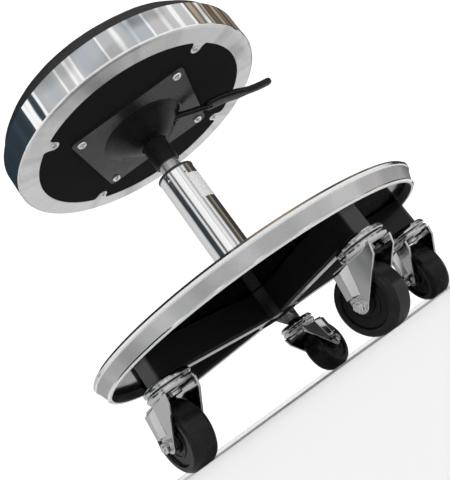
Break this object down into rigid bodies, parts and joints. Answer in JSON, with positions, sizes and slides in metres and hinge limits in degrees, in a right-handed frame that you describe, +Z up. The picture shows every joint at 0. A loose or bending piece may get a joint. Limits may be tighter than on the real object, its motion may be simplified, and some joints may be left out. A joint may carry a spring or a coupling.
{
  "type": "rolling stool",
  "caption": "Round padded salon stool on a gas lift, with a chrome-rimmed foot platform, a star of arms under it and swivel casters.",
  "frame": {"origin": "on the floor, on the axis of the column", "axes": "+Z up along the column; the height lever points near +X at rest"},
  "size_m": [0.4561, 0.4874, 0.4681],
  "materials": {
    "chrome": "polished chrome plate, brushed on the platform's band",
    "gloss_black_board": "high gloss black lacquer",
    "black_paint": "satin black powder coat",
    "black_plastic": "fine moulded grain",
    "white_sticker": "blank semi-gloss sticker",
    "steel": "ground steel",
    "bright_screws": "bright zinc plate",
    "lever_steel": "gloss black paint",
    "plywood": "raw plywood",
    "black_cloth": "non-woven dust cloth",
    "black_vinyl": "embossed upholstery vinyl",
    "foam": "open-cell foam",
    "black_rubber": "hard rubber, semi-gloss"
  },
  "bodies": {
    "base": {"platform_cover": "chrome", "platform_board": "gloss_black_board", "base_hub": "black_paint", "column_tube": "chrome", "guide_bush": "black_plastic", "blank_label": "white_sticker", "thrust_bearing": "steel", "thrust_washer": "steel", "arm_caps": "black_plastic", "base_arm_1": "black_paint", "base_arm_2": "black_paint", "base_arm_3": "black_paint", "base_arm_4": "black_paint", "base_arm_5": "black_paint", "caster_stem_1": "chrome", "caster_stem_2": "chrome", "caster_stem_3": "chrome", "caster_stem_4": "chrome", "caster_stem_5": "chrome"},
    "rod": {"piston_rod": "steel", "retaining_clip": "steel"},
    "seat": {"pressure_tube": "steel", "socket_tube": "black_paint", "dome_housing": "black_paint", "mounting_plate": "black_paint", "plate_screws": "bright_screws", "tee_nuts": "steel", "seat_board": "plywood", "dust_cover": "black_cloth", "seat_ring": "chrome", "ring_screws": "bright_screws", "seat_vinyl": "black_vinyl", "seat_foam": "foam", "lever_bracket": "black_paint", "lever_pivot": "steel"},
    "release": {"release_pin": "steel"},
    "lever": {"lever_rod": "lever_steel", "lever_grip": "black_plastic"},
    "fork_1": {"caster_fork_1": "chrome", "caster_axle_1": "bright_screws"},
    "wheel_1": {"wheel_bush_1": "steel", "wheel_1": "black_rubber"},
    "fork_2": {"caster_fork_2": "chrome", "caster_axle_2": "bright_screws"},
    "wheel_2": {"wheel_bush_2": "steel", "wheel_2": "black_rubber"},
    "fork_3": {"caster_fork_3": "chrome", "caster_axle_3": "bright_screws"},
    "wheel_3": {"wheel_bush_3": "steel", "wheel_3": "black_rubber"},
    "fork_4": {"caster_fork_4": "chrome", "caster_axle_4": "bright_screws"},
    "wheel_4": {"wheel_bush_4": "steel", "wheel_4": "black_rubber"},
    "fork_5": {"caster_fork_5": "chrome", "caster_axle_5": "bright_screws"},
    "wheel_5": {"wheel_bush_5": "steel", "wheel_5": "black_rubber"}
  },
  "joints": [
    {"name": "seat_swivel", "type": "hinge", "parent": "base", "child": "rod", "pos_m": [0, 0, 0.102], "axis": [0, 0, 1], "continuous": true},
    {"name": "seat_height", "type": "slide", "parent": "rod", "child": "seat", "axis": [0, 0, 1], "range_m": [0, 0.125]},
    {"name": "lever_lift", "type": "hinge", "parent": "seat", "child": "lever", "pos_m": [0.0293, 0.00644, 0.3838], "axis": [0.2147, -0.9767, 0], "range_deg": [0, 5], "stiffness_Nm_per_rad": 0.6, "springref_deg": -20.05},
    {"name": "pin_press", "type": "slide", "parent": "seat", "child": "release", "axis": [0, 0, -1], "range_m": [0, 0.0029], "stiffness_N_per_m": 400, "springref_m": -0.002},
    {"name": "caster_1_swivel", "type": "hinge", "parent": "base", "child": "fork_1", "pos_m": [-0.12792, -0.15244, 0.08], "axis": [0, 0, 1], "continuous": true},
    {"name": "wheel_1_spin", "type": "hinge", "parent": "fork_1", "child": "wheel_1", "pos_m": [-0.14638, -0.1288, 0.036], "axis": [-0.788, -0.6157, 0], "continuous": true},
    {"name": "caster_2_swivel", "type": "hinge", "parent": "base", "child": "fork_2", "pos_m": [0.10545, -0.16876, 0.08], "axis": [0, 0, 1], "continuous": true},
    {"name": "wheel_2_spin", "type": "hinge", "parent": "fork_2", "child": "wheel_2", "pos_m": [0.08351, -0.1483, 0.036], "axis": [-0.682, -0.7314, 0], "continuous": true},
    {"name": "caster_3_swivel", "type": "hinge", "parent": "base", "child": "fork_3", "pos_m": [0.19309, 0.04814, 0.08], "axis": [0, 0, 1], "continuous": true},
    {"name": "wheel_3_spin", "type": "hinge", "parent": "fork_3", "child": "wheel_3", "pos_m": [0.18407, 0.07675, 0.036], "axis": [-0.9537, -0.3007, 0], "continuous": true},
    {"name": "caster_4_swivel", "type": "hinge", "parent": "base", "child": "fork_4", "pos_m": [0.01388, 0.19851, 0.08], "axis": [0, 0, 1], "continuous": true},
    {"name": "wheel_4_spin", "type": "hinge", "parent": "fork_4", "child": "wheel_4", "pos_m": [0.03066, 0.22339, 0.036], "axis": [-0.829, 0.5592, 0], "continuous": true},
    {"name": "caster_5_swivel", "type": "hinge", "parent": "base", "child": "fork_5", "pos_m": [-0.18451, 0.07455, 0.08], "axis": [0, 0, 1], "continuous": true},
    {"name": "wheel_5_spin", "type": "hinge", "parent": "fork_5", "child": "wheel_5", "pos_m": [-0.19054, 0.10393, 0.036], "axis": [-0.9796, -0.2011, 0], "continuous": true}
  ],
  "couplings": [
    {"joint": "pin_press", "follows": "lever_lift", "m_per_rad": 0.03}
  ]
}
